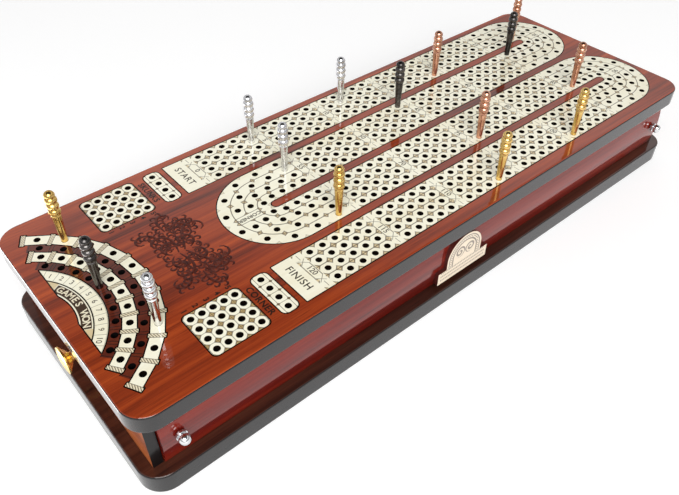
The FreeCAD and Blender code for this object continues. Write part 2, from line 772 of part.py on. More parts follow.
def peg_positions():
    """Fifteen pegs, each standing in a hole."""
    return [
        ("peg_gold_one", fan_holes(0)[1]),
        ("peg_gold_two", bend_spot("left", 3, 0, "front")),
        ("peg_gold_three", lane_spot(4, 3, 4, 4)),
        ("peg_gold_four", lane_spot(4, 5, 1, 4)),
        ("peg_silver_one", fan_holes(0)[7]),
        ("peg_silver_two", lane_spot(1, 1, 5, 2)),
        ("peg_silver_three", lane_spot(1, 3, 2, 2)),
        ("peg_silver_four", bend_spot("left", 2, 0, "back")),
        ("peg_black_one", fan_holes(3)[4]),
        ("peg_black_two", lane_spot(2, 3, 5, 1)),
        ("peg_black_three", bend_spot("back", 0, 0, "front")),
        ("peg_copper_one", lane_spot(1, 4, 5, 4)),
        ("peg_copper_two", bend_spot("back", 0, 3, "back")),
        ("peg_copper_three", lane_spot(3, 4, 1, 4)),
        ("peg_copper_four", bend_spot("front", 0, 0, "back")),
    ]


def make_pegs():
    """Turned metal pegs: a tapered shank, three rings and a domed head."""
    neck = D["hole_diameter"] / 2 - D["peg_clearance"]
    tip, seat = neck - D["peg_taper"], hole_depth - D["peg_seat_gap"]
    waist, ring, stand = D["peg_waist_radius"], D["peg_ring_radius"], D["peg_stand"]
    shoulder = D["peg_shoulder"]
    pitch = (stand - shoulder) / 4
    outline = [(0, -seat), (tip, -seat), (neck, 0), (D["peg_shoulder_radius"], shoulder - 0.6),
               (waist, shoulder)]
    for i in range(1, 4):
        outline.append((waist, shoulder + pitch * i, ring))
    outline.append((waist + 0.5, shoulder + pitch * 3 + 1.2, ring))
    outline.append((D["crown_flat"], stand, waist + 0.62))
    outline.append((0, stand))
    for name, (x, y) in peg_positions():
        peg = revolve(name + "_body", outline)
        place(peg, x, y, top_face)
        keep(name, peg)


# ---- build and export --------------------------------------------------------------------------

def build():
    screw_holes = make_screw_holes()
    make_base(screw_holes)
    make_screws()
    make_left_wall(screw_holes)
    make_right_wall(screw_holes)
    make_rear_rail()
    make_guides()
    found = inlays()
    make_top_board(found)
    make_inlays(found)
    make_nameplate(make_card_front())
    make_card_drawer()
    make_steel_knobs()
    make_peg_drawer()
    make_brass_knob()
    make_pegs()
    doc.recompute()


def check():
    """Stops at any failed object and at any empty or broken solid."""
    for item in doc.Objects:
        if "Invalid" in item.State or "Error" in item.State:
            raise RuntimeError("failed: " + item.Name + " " + str(item.State))
    for name, item in nodes.items():
        if item.Shape.isNull() or not item.Shape.isValid() or item.Shape.Volume <= 0:
            raise RuntimeError("bad shape: " + name)


def export():
    os.makedirs("parts", exist_ok=True)
    for name, item in nodes.items():
        item.Shape.exportStep("parts/" + name + ".step")
        print(name, len(item.Shape.Solids), "solids", round(item.Shape.Volume, 1), "mm3")
    print(len(nodes), "nodes")


build()
check()
export()
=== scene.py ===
# %% [markdown]
# # A cribbage board, finished in Blender
# The board is a long flat box of red hardwood. Pale maple tracks full of peg holes are let into
# its top, fifteen turned metal pegs stand in them, a card drawer slides out of the front and a
# small peg drawer out of the left end. The shapes that fit and move come from a CAD model. This
# lesson loads them, gives each its wood, lacquer or metal, and adds what a maker burns, prints or
# turns by hand: the numbers, the cell lines and the ornament.

# %% Load the frame
import math

import bpy
from mathutils import Matrix, Vector


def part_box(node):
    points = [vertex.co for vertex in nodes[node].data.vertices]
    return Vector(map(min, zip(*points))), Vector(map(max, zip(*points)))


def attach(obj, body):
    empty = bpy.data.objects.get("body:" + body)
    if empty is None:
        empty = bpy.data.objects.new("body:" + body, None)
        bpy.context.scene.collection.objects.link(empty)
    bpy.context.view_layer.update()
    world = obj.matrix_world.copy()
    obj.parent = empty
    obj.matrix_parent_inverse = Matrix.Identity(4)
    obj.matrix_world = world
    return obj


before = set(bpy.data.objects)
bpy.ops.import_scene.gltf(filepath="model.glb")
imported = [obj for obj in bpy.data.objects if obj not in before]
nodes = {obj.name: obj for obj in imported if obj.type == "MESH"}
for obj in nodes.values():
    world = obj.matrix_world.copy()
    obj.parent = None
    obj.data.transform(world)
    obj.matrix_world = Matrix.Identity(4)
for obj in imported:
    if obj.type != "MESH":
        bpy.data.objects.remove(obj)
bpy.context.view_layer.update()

# %% [markdown]
# ## Sizes
# Everything that follows is placed from the CAD pieces' own boxes. The pattern of the tracks is a
# lattice, so a few spacings describe it: the holes are 7.25 mm apart along a lane and 6.35 mm
# across it, and every fifth column is followed by a label strip.

# %% Where things are, in millimetres
MM = 0.001
DEGREES = 180 / math.pi
FLAT = 0.75  # a surface whose normal rises more than this counts as facing up or down


def box_mm(node):
    """The lowest and highest corners of a CAD node, in millimetres."""
    low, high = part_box(node)
    return [v / MM for v in low], [v / MM for v in high]


lane_low, lane_high = box_mm("track_lane_start")
top_low, top_high = box_mm("top_board")
surface = top_high[2]
hole_pitch = 7.25
row_pitch = 6.35
group_pitch = 41.6
last_label = lane_high[0]
labels = [last_label - group_pitch * k for k in range(5, -1, -1)]
lane_names = ["track_lane_start", "track_lane_second", "track_lane_third", "track_lane_finish"]
lane_y = [(box_mm(name)[0][1] + box_mm(name)[1][1]) / 2 for name in lane_names]
lane_half = (lane_high[1] - lane_low[1]) / 2
lane_pitch = lane_y[0] - lane_y[1]
pattern_y = (lane_y[0] + lane_y[3]) / 2
print("surface", round(surface, 2), "labels", [round(v, 1) for v in labels])
print("lanes", [round(v, 2) for v in lane_y], "pattern centre", round(pattern_y, 2))

# %% [markdown]
# ## The camera
# The camera looks down on the near left corner from about a third of a metre away. It is placed
# and aimed first, because every look at the model depends on it.

# %% Camera
camera_data = bpy.data.cameras.new("studio_camera")
camera_data.lens = 37.21
camera_data.sensor_width = 36.0
camera_data.clip_start = 0.01
camera = bpy.data.objects.new("studio_camera", camera_data)
bpy.context.scene.collection.objects.link(camera)
camera_above_top = 0.2139
camera_place = Vector((-0.2143, -0.2117, surface * MM + camera_above_top))
camera_aim = Vector((-0.0522, -0.0251, 0.0300))
roll_degrees = 0.79
turn = (camera_aim - camera_place).to_track_quat("-Z", "Y").to_matrix().to_4x4()
camera_roll = Matrix.Rotation(math.radians(roll_degrees), 4, "Z")
camera.matrix_world = Matrix.Translation(camera_place) @ turn @ camera_roll
bpy.context.scene.camera = camera
print("camera", [round(v, 3) for v in camera_place])

# %% [markdown]
# ## Shader maths as plain expressions
# A pattern such as a lattice of cells is arithmetic on position. Wrapping a node socket in a small
# class lets that arithmetic be written as ordinary expressions, and each operator adds its node.

# %% The Field class


class Field:
    """A number that varies over a surface: a socket with arithmetic."""

    def __init__(self, tree, socket):
        self.tree = tree
        self.socket = socket

    def maths(self, operation, *others):
        node = self.tree.nodes.new("ShaderNodeMath")
        node.operation = operation
        for slot, item in enumerate((self,) + others):
            if isinstance(item, Field):
                self.tree.links.new(item.socket, node.inputs[slot])
            else:
                node.inputs[slot].default_value = item
        return Field(self.tree, node.outputs[0])

    def __add__(self, other):
        return self.maths("ADD", other)

    def __radd__(self, other):
        return self.maths("ADD", other)

    def __sub__(self, other):
        return self.maths("SUBTRACT", other)

    def __rsub__(self, other):
        return (self * -1.0).maths("ADD", other)

    def __mul__(self, other):
        return self.maths("MULTIPLY", other)

    def __rmul__(self, other):
        return self.maths("MULTIPLY", other)

    def __truediv__(self, other):
        return self.maths("DIVIDE", other)

    def size(self):
        return self.maths("ABSOLUTE")

    def root(self):
        return self.maths("SQRT")

    def below(self, other):
        return self.maths("LESS_THAN", other)

    def above(self, other):
        return self.maths("GREATER_THAN", other)

    def least(self, other):
        return self.maths("MINIMUM", other)

    def most(self, other):
        return self.maths("MAXIMUM", other)

    def angle_from(self, other):
        return self.maths("ARCTAN2", other)

    def soft_below(self, edge, soft):
        """1 under edge, falling to 0 over a width of soft."""
        return ((edge - self) / soft + 0.5).most(0.0).least(1.0)

    def to_line(self, pitch):
        """Distance to the nearest whole multiple of pitch."""
        return self.maths("PINGPONG", pitch / 2.0)


print("operators ready")

# %% [markdown]
# ## A finish
# Each material is made through one helper. It adds any node from its type, its settings and its
# socket values, and hands out the position on the piece in millimetres.

# %% The Finish class


class Finish:
    """A material under construction."""

    def __init__(self, name):
        self.material = bpy.data.materials.new(name)
        self.material.use_nodes = True
        self.tree = self.material.node_tree
        self.shader = self.tree.nodes["Principled BSDF"]
        self.place = self.node("ShaderNodeTexCoord").outputs["Object"]
        parts = self.node("ShaderNodeSeparateXYZ", {}, {"Vector": self.place})
        self.x = Field(self.tree, parts.outputs[0]) * (1 / MM)
        self.y = Field(self.tree, parts.outputs[1]) * (1 / MM)
        self.z = Field(self.tree, parts.outputs[2]) * (1 / MM)

    def node(self, kind, settings=None, values=None):
        """Adds a node, sets it up, then fills or links its sockets."""
        node = self.tree.nodes.new(kind)
        for key, value in (settings or {}).items():
            if key == "stops":
                self.fill_ramp(node.color_ramp, value)
            else:
                setattr(node, key, value)
        for key, value in (values or {}).items():
            self.feed(node.inputs[key], value)
        return node

    def fill_ramp(self, ramp, stops):
        while len(ramp.elements) < len(stops):
            ramp.elements.new(0.5)
        for element, (spot, colour) in zip(ramp.elements, stops):
            element.position = spot
            element.color = tuple(colour) + (1.0,)

    def feed(self, socket, value):
        if isinstance(value, Field):
            value = value.socket
        if isinstance(value, bpy.types.NodeSocket):
            self.tree.links.new(value, socket)
        elif hasattr(value, "__len__") and socket.type == "RGBA":
            socket.default_value = tuple(value) + (1.0,)
        else:
            socket.default_value = value

    def ramp(self, factor, stops):
        """A colour that runs through stops as factor goes from 0 to 1."""
        ramp = self.node("ShaderNodeValToRGB", {"stops": stops}, {"Fac": factor})
        return ramp.outputs["Color"]

    def mix(self, factor, first, second):
        """first where factor is 0, second where it is 1."""
        mix = self.node("ShaderNodeMix", {"data_type": "RGBA"}, {0: factor, 6: first, 7: second})
        return mix.outputs[2]

    def noise(self, stretch, detail=4.0, rough=0.55, twist=0.0):
        """Noise on the piece's own position; stretch is how many waves a metre has each way."""
        spot = self.node("ShaderNodeMapping", {}, {"Vector": self.place, "Scale": stretch})
        values = {"Vector": spot.outputs[0], "Scale": 1.0, "Detail": detail, "Roughness": rough,
                  "Distortion": twist}
        return Field(self.tree, self.node("ShaderNodeTexNoise", {}, values).outputs[0])

    def facing_up(self):
        """The upward part of the surface's own direction, from -1 to 1."""
        turned = self.node("ShaderNodeNewGeometry").outputs["Normal"]
        parts = self.node("ShaderNodeSeparateXYZ", {}, {"Vector": turned})
        return Field(self.tree, parts.outputs[2])

    def polar(self, x, y):
        """Distance in mm from an upright axis, and the bearing round it in degrees."""
        dx, dy = self.x - x, self.y - y
        return (dx * dx + dy * dy).root(), dy.angle_from(dx) * DEGREES

    def dent(self, height, depth, width=1.0):
        """Turns a height into a Normal: depth in metres."""
        bump = self.node("ShaderNodeBump", {}, {"Height": height, "Strength": width,
                                                "Distance": depth})
        return bump.outputs["Normal"]

    def finish(self, **sockets):
        """Fills the shader's sockets; an underscore stands for a space."""
        for key, value in sockets.items():
            self.feed(self.shader.inputs[key.replace("_", " ")], value)
        return self.material


def dress(node_name, material):
    """Gives a CAD node its finish."""
    for place in nodes[node_name].material_slots:
        place.material = material


print("finish helper ready")

# %% [markdown]
# ## Red hardwood
# The top is a dense red timber, orange where the grain catches light and brown along its pores.
# Long streaks run the length of the board, so the noise is stretched along X. Lacquer is a clear
# coat, which gives the mirror-like gloss over a duller body.

# %% Wood grain
WAVES_ALONG, WAVES_ACROSS = 5.0, 95.0  # broad streaks in a metre, each way


def grain(f, dark, middle, light, along, across, pores, run="x"):
    """The colour and height of straight-grained wood that runs along X, or along Y."""

    def stretch(length, width):
        return (length, width, width) if run == "x" else (width, length, width)

    broad = f.noise(stretch(along, across), 5.0, 0.6, 0.6)
    fine = f.noise(stretch(along * 2.5, across * 5.0), 6.0, 0.7, 0.2)
    tone = broad * 0.62 + fine * 0.38
    colour = f.ramp(tone, [(0.34, dark), (0.48, middle), (0.64, light)])
    pore = f.noise(stretch(along * 9.0, across * 26.0), 2.0, 0.5)
    line = (pore - 0.62).most(0.0).least(0.1) * 10.0
    colour = f.mix(line * pores, colour, tuple(c * 0.35 for c in dark))
    return colour, tone - line * 0.5


def red_timber(name, dark, middle, light, edge, pores=0.6, gloss=1.0):
    """Lacquered hardwood; edge is the colour of its stained sides, or None."""
    f = Finish(name)
    colour, height = grain(f, dark, middle, light, WAVES_ALONG, WAVES_ACROSS, pores)
    if edge:
        colour = f.mix(f.facing_up().size().above(FLAT), edge, colour)
    return f.finish(Base_Color=colour, Roughness=0.42, Coat_Weight=gloss, Coat_Roughness=0.06,
                    Specular_IOR_Level=0.05, Normal=f.dent(height, 0.00004, 0.35))


stain = (0.006, 0.005, 0.005)
print("grain ready")

# %% The stained fan rings on the top board
fan_behind_edge = 18.5
fan_x = top_low[0] - fan_behind_edge
fan_inner = 27.7
fan_band = 5.53
fan_steps = [12.27, 11.75, 11.2, 10.15]  # degrees a cell, from the outer ring inward


def ring_middle(ring):
    """Radius of the middle of a ring of the fan; ring 0 is the outer one."""
    return fan_inner + (5.5 - ring) * fan_band


cells_each_side = 5.0
soft = 0.15
cell_stain = (0.045, 0.010, 0.007)
rim_stain = (0.012, 0.006, 0.005)
bare_underside = (0.20, 0.045, 0.016)
top_finish = Finish("red_timber_top")
colour, height = grain(top_finish, (0.070, 0.010, 0.003), (0.255, 0.032, 0.006),
                       (0.44, 0.070, 0.012), WAVES_ALONG, WAVES_ACROSS, 0.6)
reach, bearing = top_finish.polar(fan_x, pattern_y)
for ring in (1, 3):
    middle, step = ring_middle(ring), fan_steps[ring]
    off = (reach - middle).size()
    in_turn = bearing.size().soft_below(cells_each_side * step, 0.2)
    inside = off.soft_below(fan_band / 2 - 0.2, soft) * in_turn
    between = bearing.to_line(step) * (middle / DEGREES)
    cut_line = between.soft_below(0.9, soft) * off.below(fan_band / 2 + 0.3)
    rim = inside - off.soft_below(fan_band / 2 - 0.5, soft) * inside
    colour = top_finish.mix(inside * 0.72, colour, cell_stain)
    colour = top_finish.mix((rim + inside * cut_line * between.above(0.55)).least(1.0) * 0.9,
                            colour, rim_stain)
pocket_depth = 0.6
raised = top_finish.facing_up().above(FLAT) * top_finish.z.above(surface - pocket_depth)
colour = top_finish.mix(raised, stain, colour)
underside = top_finish.facing_up().below(-FLAT)
colour = top_finish.mix(underside, colour, bare_underside)
dress("top_board", top_finish.finish(
    Base_Color=colour, Roughness=0.45, Coat_Weight=1.0, Coat_Roughness=0.05,
    Specular_IOR_Level=0.05, Normal=top_finish.dent(height, 0.00004, 0.35)))
print("top board finished")

# %% The other red pieces, and the base in painted shade
deep_red = red_timber("red_timber_deep", (0.070, 0.003, 0.002), (0.15, 0.008, 0.004),
                      (0.24, 0.020, 0.008), None, 0.35, 0.8)
# The base is the top's red timber painted far darker: painted shade under the top board.
dark_base = red_timber("dark_base", (0.012, 0.004, 0.003), (0.042, 0.012, 0.007),
                       (0.085, 0.026, 0.014), stain, 0.6, 0.85)
box_wood = red_timber("drawer_wood", (0.12, 0.04, 0.02), (0.22, 0.085, 0.04),
                      (0.32, 0.14, 0.07), None, 0.3)
for name in ("card_drawer_front", "rear_rail"):
    dress(name, deep_red)
dress("base_board", dark_base)
for name in ("bay_partition", "peg_bay_rail_front", "peg_bay_rail_back",
             "card_drawer_left_side", "card_drawer_right_side", "card_drawer_back",
             "card_drawer_bottom", "card_drawer_dividers", "peg_drawer_side_front",
             "peg_drawer_side_back", "peg_drawer_end", "peg_drawer_bottom"):
    dress(name, box_wood)
print("drawers, rails and base finished")

# %% [markdown]
# ## End walls
# The end walls show red timber on their outer faces and black stained ends, where they stop beside
# the drawer's front. Their timber is painted lighter than the top's: painted light on the shade
# under the top board.

# %% End walls
wall = Finish("end_wall")
# a lighter, more orange red than the top: painted light on the walls' shade
colour, height = grain(wall, (0.18, 0.035, 0.010), (0.36, 0.085, 0.022), (0.52, 0.15, 0.045),
                       WAVES_ALONG, WAVES_ACROSS, 0.4, "y")
wall_edge = box_mm("right_end_wall")[1][1]
stain_depth = 0.15
colour = wall.mix(wall.y.size().above(wall_edge - stain_depth), colour, stain)
wall_finish = wall.finish(Base_Color=colour, Roughness=0.45, Coat_Weight=0.5, Coat_Roughness=0.15,
                          Specular_IOR_Level=0.05, Normal=wall.dent(height, 0.00004, 0.35))
for name in ("left_end_wall", "right_end_wall", "peg_drawer_front"):
    dress(name, wall_finish)
print("walls finished")

# %% [markdown]
# ## Maple inlays
# The tracks are pale maple, printed before they are let in. Each hole sits in its own cell. Where
# four cells meet there is a small tan diamond, and a hair line joins the diamonds between rows.

# %% Maple and its printed lines
PRINT = (0.045, 0.022, 0.009)
TAN = (0.60, 0.44, 0.20)


def maple_ground(f):
    """Pale maple: nearly even, with soft figure along the board."""
    broad = f.noise((14.0, 90.0, 90.0), 4.0, 0.6, 0.5)
    fine = f.noise((60.0, 700.0, 700.0), 3.0, 0.6)
    tone = broad * 0.7 + fine * 0.3
    return f.ramp(tone, [(0.30, (0.87, 0.81, 0.60)), (0.55, (0.93, 0.90, 0.73))]), tone


def maple_finish(f, tan, line, strength=0.85):
    """Maple with its tan patches and brown lines, lacquered with the board."""
    colour, tone = maple_ground(f)
    colour = f.mix(tan * 0.75, colour, TAN)
    colour = f.mix(line * strength, colour, PRINT)
    side = f.facing_up().below(0.5)
    colour = f.mix(side, colour, (0.006, 0.003, 0.002))
    return f.finish(Base_Color=colour, Roughness=0.4, Coat_Weight=1.0, Coat_Roughness=0.05,
                    Specular_IOR_Level=0.1, Normal=f.dent(tone, 0.00002, 0.3))


def lattice(marks, strength, size, fine=0.24):
    """Tan patches and brown lines round the meeting points of cells.

    marks lists (across, along, faint): the distances to a cell boundary each way, and whether it
    is only the edge of the inlay. fine is half the width of the hair line, in millimetres.
    """
    tan, line = 0.0, 0.0
    for across, along, faint in marks:
        reach = across + along
        part = 0.45 if faint else 1.0
        corner = (across * along).root()
        reach = reach + corner * 0.45
        tan = reach.soft_below(size, 0.3) * part + tan
        ring = (reach - size).size().soft_below(0.45, 0.3) * (part * strength)
        line = ring.most(line)
        if not faint:
            line = across.soft_below(fine, 0.12).most(line)
    return tan, line


def with_label(tan, line, from_label, offset):
    """Draws the plaque that carries a number: long sides that cross at its two ends."""
    half_width, crossing, sides_end, stem_end = 2.1, 6.5, 8.0, 11.5
    plaque = ((crossing - offset).size() * 1.1).least(half_width)
    sides = (from_label - plaque).size().soft_below(0.2, 0.12) * offset.below(sides_end)
    stem = from_label.soft_below(0.14, 0.12) * offset.above(sides_end) * offset.below(stem_end)
    inside = from_label.below(plaque) * offset.below(crossing)
    clear = 1.0 - inside
    return tan * clear, (line * clear).most(sides).most(stem)


first_line = (group_pitch - 5 * hole_pitch) / 2
print("printed lines ready")

# %% The straight tracks
diamond_size = 2.0
lane = Finish("maple_track")
to_label = (lane.x - labels[0]).to_line(group_pitch)
in_group = (lane.x - (labels[0] + first_line)).maths("FLOORED_MODULO", group_pitch)
to_column = in_group.to_line(hole_pitch)
lane_offset = (lane.y - lane_y[0]).to_line(lane_pitch)
tan, line = lattice([(lane_offset.to_line(row_pitch), to_column, False)], 0.95,
                    diamond_size)
gap_strip = to_label.below(first_line - 0.2)
line = line * (1.0 - gap_strip * (lane_offset.to_line(row_pitch)).below(0.5))
tan, line = with_label(tan, line, to_label, lane_offset)
on_track = lane.x.above(labels[0] - 2.4)
maple_lane = maple_finish(lane, tan * on_track, line * on_track)
for name in lane_names:
    dress(name, maple_lane)
print("straight tracks printed")

# %% [markdown]
# ## Bends
# A bend is two short legs and a half circle. Measuring along each row boundary from the label
# strip, instead of along X, carries the same cells round the curve.

# %% The three bends
bend_gaps = [1.0, 1.65, 2.3, 1.3, 0.3]  # left over at each boundary's far end, inner to outer
bend_middle_width = 2.5


def bend_finish(name, centre_x, centre_y, leg, way):
    """The pattern of one bend; way is 1 if it swings toward +X, -1 toward -X."""
    f = Finish(name)
    ahead = (f.x - centre_x) * way
    aside = (f.y - centre_y).size()
    curved = ahead.most(0.0)
    reach = (curved * curved + aside * aside).root()
    turn_angle = curved.angle_from(aside)
    straight = ahead.least(0.0) + leg
    marks = []
    middle = lane_pitch / 2
    for ring, gap in enumerate(bend_gaps):
        radius = middle + (ring - 2) * row_pitch
        pitch = (leg + radius * math.pi / 2 - bend_middle_width - gap) / 5
        along = (straight + turn_angle * radius - bend_middle_width).to_line(pitch)
        marks.append(((reach - radius).size(), along, ring in (0, 4)))
    tan, line = lattice(marks, 0.9, 1.6)
    tan, line = with_label(tan, line, straight + turn_angle * middle, (reach - middle).size())
    box_half, box_stretch = 2.4, 3.8
    box_off = ((reach - middle).size() - box_stretch).most(aside)
    inside = box_off.below(box_half) * ahead.above(0.0)
    box_line = (box_off - box_half).size().soft_below(0.18, 0.12) * ahead.above(0.0)
    print(name, "radius to the middle row", round(middle, 2))
    return maple_finish(f, tan * (1.0 - inside), (line * (1.0 - inside)).most(box_line))


for name, way in (("track_bend_left", -1), ("track_bend_back", 1), ("track_bend_front", 1)):
    low, high = box_mm(name)
    start = low[0] if way == 1 else high[0]
    outside = (high[1] - low[1]) / 2
    far = high[0] if way == 1 else low[0]
    dress(name, bend_finish("maple_" + name, far - way * outside, (low[1] + high[1]) / 2,
                            abs(far - start) - outside, way))

# %% [markdown]
# ## Counters
# The skunk and corner counters have closer cells, lined on all four sides.

# %% Counters and strips
counter_pitch = 5.3
counter_line = 0.12
for name, block_x, diamond in (("counter", box_mm("skunks_counter")[0][0] + 0.2, 1.7),
                               ("strip", box_mm("skunks_strip")[0][0] + 1.45, 0.7)):
    f = Finish("maple_" + name)
    across = (f.x - block_x).to_line(counter_pitch)
    row = (f.y - lane_y[0]).maths("FLOORED_MODULO", lane_pitch)
    along = (row.least(lane_pitch - row)).to_line(row_pitch)
    tan, line = lattice([(across, along, False), (along, across, False)], 0.9, diamond,
                        counter_line)
    for side in ("skunks_", "corner_"):
        dress(side + name, maple_finish(f, tan, line))
print("counters printed")

# %% The games fan
rope_half = 1.0
rope_pitch = 1.25
for name, ring in (("games_arc_outer", 0), ("games_arc_inner", 2)):
    f = Finish("maple_" + name)
    reach, bearing = f.polar(fan_x, pattern_y)
    radius = ring_middle(ring)
    along = bearing.to_line(fan_steps[ring]) * (radius / DEGREES)
    rope = along.below(rope_half)
    twist = (reach + bearing * (radius / DEGREES)).to_line(rope_pitch).soft_below(0.24, 0.2)
    border = (along - rope_half).size().soft_below(0.14, 0.1)
    dress(name, maple_finish(f, rope * 0.5, (twist * rope).most(border)))

number_radius = ring_middle(4)
number_step = 8.6
number_band_half = 2.35
f = Finish("maple_games_number_ring")
reach, bearing = f.polar(fan_x, pattern_y)
divide = bearing.to_line(number_step) * (number_radius / DEGREES)
rims = (reach - number_radius).size().above(number_band_half) * 0.6
line = divide.soft_below(0.13, 0.12).most(rims)
dress("games_number_ring", maple_finish(f, 0.0, line * 0.7))

title_radius = ring_middle(5) - 0.1
title_band_half = 2.1
title_half_angle = 28.0
f = Finish("maple_title_plate")
reach, bearing = f.polar(fan_x, pattern_y)
bearing = bearing.size()
band = (reach - title_radius).size().soft_below(title_band_half, 0.2)
band = band * bearing.soft_below(title_half_angle, 0.4)
dress("games_title_plate", maple_finish(f, bearing.above(title_half_angle + 0.5), band, 1.0))
print("fan printed")

# %% [markdown]
# ## Lettering
# Numbers count the holes along the tracks. Each is a thin raised print, made from type and turned
# into a mesh. They read from the back of the board to the front.

# %% Inks and type


def ink(name, dark, light, waves=900.0, detail=3.0, stops=(0.3, 0.7), **sockets):
    """A finely speckled finish between two colours."""
    f = Finish(name)
    speck = f.noise((waves, waves, waves), detail)
    return f.finish(Base_Color=f.ramp(speck, [(stops[0], dark), (stops[1], light)]), **sockets)


burnt = ink("burnt_type", (0.010, 0.005, 0.003), (0.03, 0.014, 0.008), Roughness=0.45,
            Specular_IOR_Level=0.05, Coat_Weight=0.5, Coat_Roughness=0.1)
cream = ink("cream_type", (0.78, 0.68, 0.48), (0.90, 0.84, 0.64), Roughness=0.45,
            Coat_Weight=0.8, Coat_Roughness=0.1)


def lettering(words, size, x, y, turn=-90.0, heavy=0.0, spread=1.0):
    """A word as a thin closed solid lying in the surface, centred on x and y."""
    bpy.ops.object.text_add()
    word = bpy.context.object
    word.data.body = words
    word.data.size = size * MM
    word.data.align_x = "CENTER"
    word.data.align_y = "CENTER"
    word.data.offset = heavy * MM
    word.data.space_character = spread
    word.data.extrude = 0.03 * MM
    word.data.resolution_u = 3
    bpy.ops.object.convert(target="MESH")
    word = bpy.context.object
    bpy.ops.object.mode_set(mode="EDIT")
    bpy.ops.mesh.select_all(action="SELECT")
    bpy.ops.mesh.remove_doubles(threshold=0.000001)
    bpy.ops.object.mode_set(mode="OBJECT")
    word.rotation_euler.z = math.radians(turn)
    word.location = (x * MM, y * MM, surface * MM)
    bpy.ops.object.transform_apply(location=True, rotation=True, scale=True)
    return word


def gather(name, parts, material, body="board"):
    """Joins small parts into one named piece with one finish."""
    bpy.ops.object.select_all(action="DESELECT")
    for part in parts:
        part.select_set(True)
    bpy.context.view_layer.objects.active = parts[0]
    if len(parts) > 1:
        bpy.ops.object.join()
    piece = bpy.context.object
    piece.name = piece.data.name = name
    piece.data.materials.clear()
    piece.data.materials.append(material)
    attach(piece, body)
    print(name, "faces", len(piece.data.polygons))
    return piece


# %% Numbers along the tracks
count_size = 3.9
counts = []
for place in range(1, 6):
    counts.append((5 * place, labels[place], lane_y[0]))
    counts.append((30 + 5 * (6 - place), labels[place], lane_y[1]))
    counts.append((60 + 5 * place, labels[place], lane_y[2]))
    counts.append((90 + 5 * (6 - place), labels[place], lane_y[3]))
counts += [(0, labels[0], lane_y[0]), (120, labels[0], lane_y[3])]
numbers = [lettering(str(count), count_size, x, y, heavy=0.03) for count, x, y in counts]
for count, name in ((30, "track_bend_back"), (90, "track_bend_front")):
    low, high = box_mm(name)
    numbers.append(lettering(str(count), count_size, high[0] - lane_half,
                             (low[1] + high[1]) / 2, 180.0, heavy=0.03))
gather("track_numbers", numbers, burnt)

# %% Words on the tracks and beside the counters
word_gap = 7.2
plate_x = labels[0] - word_gap
plate_size, side_size, small_size = 5.0, 4.3, 3.4
bend_end = box_mm("track_bend_left")[0][0]
words = [lettering("START", plate_size, plate_x, lane_y[0], heavy=0.04, spread=1.12),
         lettering("FINISH", plate_size, plate_x, lane_y[3], heavy=0.04, spread=1.12),
         lettering("CORNER", 3.0, bend_end + lane_half, pattern_y, 180.0, heavy=0.05)]
gap_x = (box_mm("skunks_counter")[1][0] + box_mm("skunks_strip")[0][0]) / 2
words += [lettering("SKUNKS", side_size, gap_x, lane_y[0], heavy=0.12, spread=1.1),
          lettering("CORNER", side_size, gap_x, lane_y[3], heavy=0.12, spread=1.1)]
block_x = box_mm("skunks_counter")[0][0]
first_column = 2.85
beside = 2.2
for count in range(1, 6):
    column = block_x + first_column + counter_pitch * (count - 1)
    for y in (lane_y[0] - lane_half - beside, lane_y[3] + lane_half + beside):
        words.append(lettering(str(count), small_size, column, y, heavy=0.1))
gather("burnt_words", words, burnt)

# %% Numbers round the fan
title_size = 4.2
title_step = 5.9
ring_numbers = []
for count in range(1, 11):
    bearing = math.radians((5.5 - count) * number_step)
    ring_numbers.append(lettering(str(count), small_size, fan_x + number_radius * math.cos(bearing),
                                  pattern_y + number_radius * math.sin(bearing),
                                  math.degrees(bearing) - 90.0))
gather("fan_numbers", ring_numbers, burnt)
title = "GAMES WON"
letters = []
for count, letter in enumerate(title):
    bearing = math.radians((len(title) / 2 - 0.5 - count) * title_step)
    if letter != " ":
        letters.append(lettering(letter, title_size, fan_x + title_radius * math.cos(bearing),
                                 pattern_y + title_radius * math.sin(bearing),
                                 math.degrees(bearing) - 90.0, heavy=0.09))
gather("fan_title", letters, cream)

# %% [markdown]
# ## Scrollwork
# The space between the fan and the tracks is filled with burnt scrolls. Each stroke is a curve
# whose bend tightens evenly from one end to the other, which is what makes a scroll, and both
# ends taper. The lower half mirrors the upper.

# %% Scroll strokes


def trace(x, y, heading, length, bend_start, bend_end, steps=16):
    """Points of a stroke as (x, y, heading); bends are in degrees a millimetre."""
    points = []
    step = length / (steps - 1)
    for count in range(steps):
        points.append((x, y, heading))
        heading += (bend_start + (bend_end - bend_start) * count / (steps - 1)) * step
        x += step * math.cos(math.radians(heading))
        y += step * math.sin(math.radians(heading))
    return points


def draw(points, width, mirror=1.0):
    """One tapered flat stroke on the surface, or its mirror image."""
    data = bpy.data.curves.new("stroke", "CURVE")
    data.dimensions = "3D"
    data.bevel_depth = width * MM / 2
    data.bevel_resolution = 1
    data.use_fill_caps = True
    spline = data.splines.new("POLY")
    spline.points.add(len(points) - 1)
    for count, (point, (x, y, heading)) in enumerate(zip(spline.points, points)):
        point.co = (x * MM, (pattern_y + mirror * y) * MM, 0.0, 1.0)
        point.radius = max(0.45, math.sin(math.pi * (0.12 + 0.8 * count / len(points))))
    stroke = bpy.data.objects.new("stroke", data)
    bpy.context.scene.collection.objects.link(stroke)
    bpy.ops.object.select_all(action="DESELECT")
    stroke.select_set(True)
    bpy.context.view_layer.objects.active = stroke
    bpy.ops.object.convert(target="MESH")
    stroke = bpy.context.object
    stroke.scale.z = flatness
    stroke.location.z = surface * MM
    bpy.ops.object.transform_apply(location=True, rotation=True, scale=True)
    return stroke


flatness = 0.15
stem_width, curl_width = 1.5, 1.1
